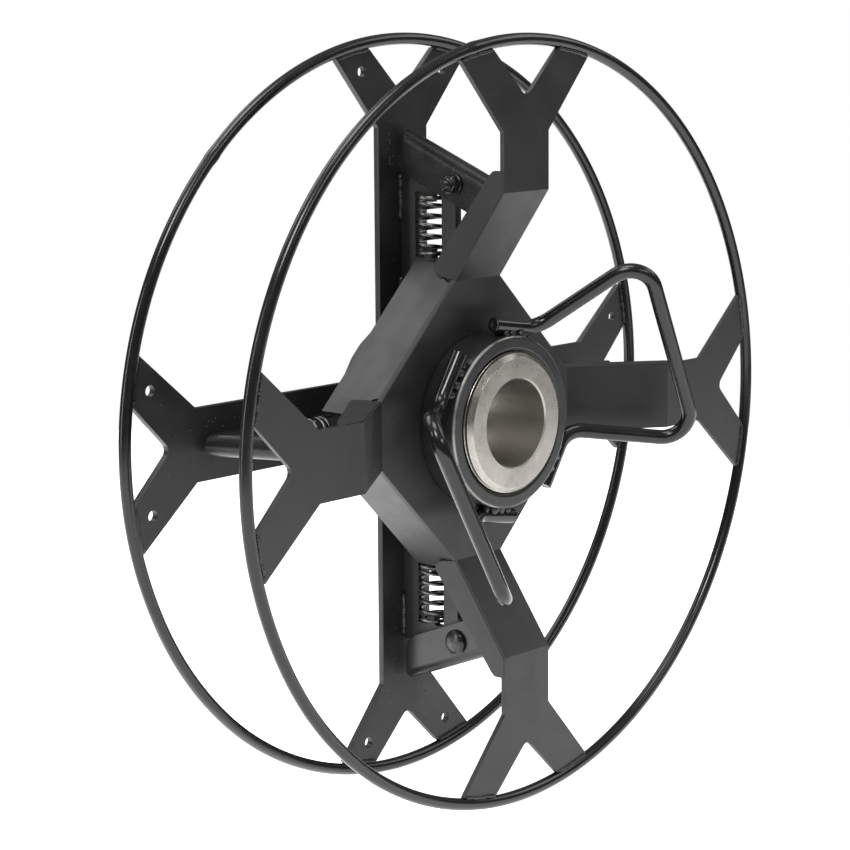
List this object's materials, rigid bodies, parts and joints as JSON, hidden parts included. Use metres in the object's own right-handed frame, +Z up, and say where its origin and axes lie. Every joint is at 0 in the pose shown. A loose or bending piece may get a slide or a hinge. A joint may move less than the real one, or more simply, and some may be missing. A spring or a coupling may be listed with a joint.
{
  "type": "wire coil reel",
  "caption": "Black steel reel for a coil of welding wire, with sprung shoes and a screw-on cover with loop handles.",
  "frame": {"origin": "on the reel axis, half way between the two hoops", "axes": "+Y along the bore towards the rear cross, -Y towards the cover and nut, +Z up along the first arm"},
  "size_m": [0.4408, 0.1444, 0.4409],
  "materials": {
    "black_paint": "satin black paint",
    "gloss_black_bar": "gloss black paint",
    "machined_steel": "turned, bare",
    "spring_steel": "dark oiled",
    "black_fastener": "painted over with the reel"
  },
  "bodies": {
    "reel": {"rear_hoop": "gloss_black_bar", "rear_cross": "black_paint", "hub_tube": "machined_steel", "hub_collar": "black_paint", "carrier_1": "black_paint", "carrier_2": "black_paint", "carrier_3": "black_paint", "carrier_4": "black_paint", "shoe_spring_1": "spring_steel", "shoe_spring_2": "spring_steel", "shoe_spring_3": "spring_steel", "shoe_spring_4": "spring_steel", "shoe_bolt_1": "black_fastener", "shoe_bolt_2": "black_fastener", "shoe_bolt_3": "black_fastener", "shoe_bolt_4": "black_fastener", "washer_1": "black_fastener", "washer_2": "black_fastener", "washer_3": "black_fastener", "washer_4": "black_fastener", "lock_nut_1": "black_fastener", "lock_nut_2": "black_fastener", "lock_nut_3": "black_fastener", "lock_nut_4": "black_fastener"},
    "cover_body": {"cover_pressing": "black_paint", "front_hoop": "gloss_black_bar"},
    "spinner": {"spinner_nut": "black_paint", "handle_1": "gloss_black_bar", "handle_2": "gloss_black_bar"},
    "shoe_1_body": {"shoe_1": "gloss_black_bar"},
    "shoe_2_body": {"shoe_2": "gloss_black_bar"},
    "shoe_3_body": {"shoe_3": "gloss_black_bar"},
    "shoe_4_body": {"shoe_4": "gloss_black_bar"}
  },
  "joints": [
    {"name": "shoe_1_swing", "type": "hinge", "parent": "reel", "child": "shoe_1_body", "pos_m": [0, 0.001, 0.1345], "axis": [-1, 0, 0], "range_deg": [0, 10.5], "stiffness_Nm_per_rad": 2, "springref_deg": -11.46, "deforming": ["shoe_spring_1"]},
    {"name": "shoe_2_swing", "type": "hinge", "parent": "reel", "child": "shoe_2_body", "pos_m": [0.1345, 0.001, 0], "axis": [0, 0, 1], "range_deg": [0, 10.5], "stiffness_Nm_per_rad": 2, "springref_deg": -11.46, "deforming": ["shoe_spring_2"]},
    {"name": "shoe_3_swing", "type": "hinge", "parent": "reel", "child": "shoe_3_body", "pos_m": [0, 0.001, -0.1345], "axis": [1, 0, 0], "range_deg": [0, 10.5], "stiffness_Nm_per_rad": 2, "springref_deg": -11.46, "deforming": ["shoe_spring_3"]},
    {"name": "shoe_4_swing", "type": "hinge", "parent": "reel", "child": "shoe_4_body", "pos_m": [-0.1345, 0.001, 0], "axis": [0, 0, -1], "range_deg": [0, 10.5], "stiffness_Nm_per_rad": 2, "springref_deg": -11.46, "deforming": ["shoe_spring_4"]},
    {"name": "nut_turn", "type": "hinge", "parent": "cover_body", "child": "spinner", "pos_m": [0, -0.0368, 0], "axis": [0, -1, 0], "range_deg": [0, 1980]},
    {"name": "cover_slide", "type": "slide", "parent": "reel", "child": "cover_body", "axis": [0, -1, 0], "range_m": [0, 0.0222]}
  ],
  "couplings": [
    {"joint": "cover_slide", "follows": "nut_turn", "m_per_rad": 0.00063662}
  ]
}
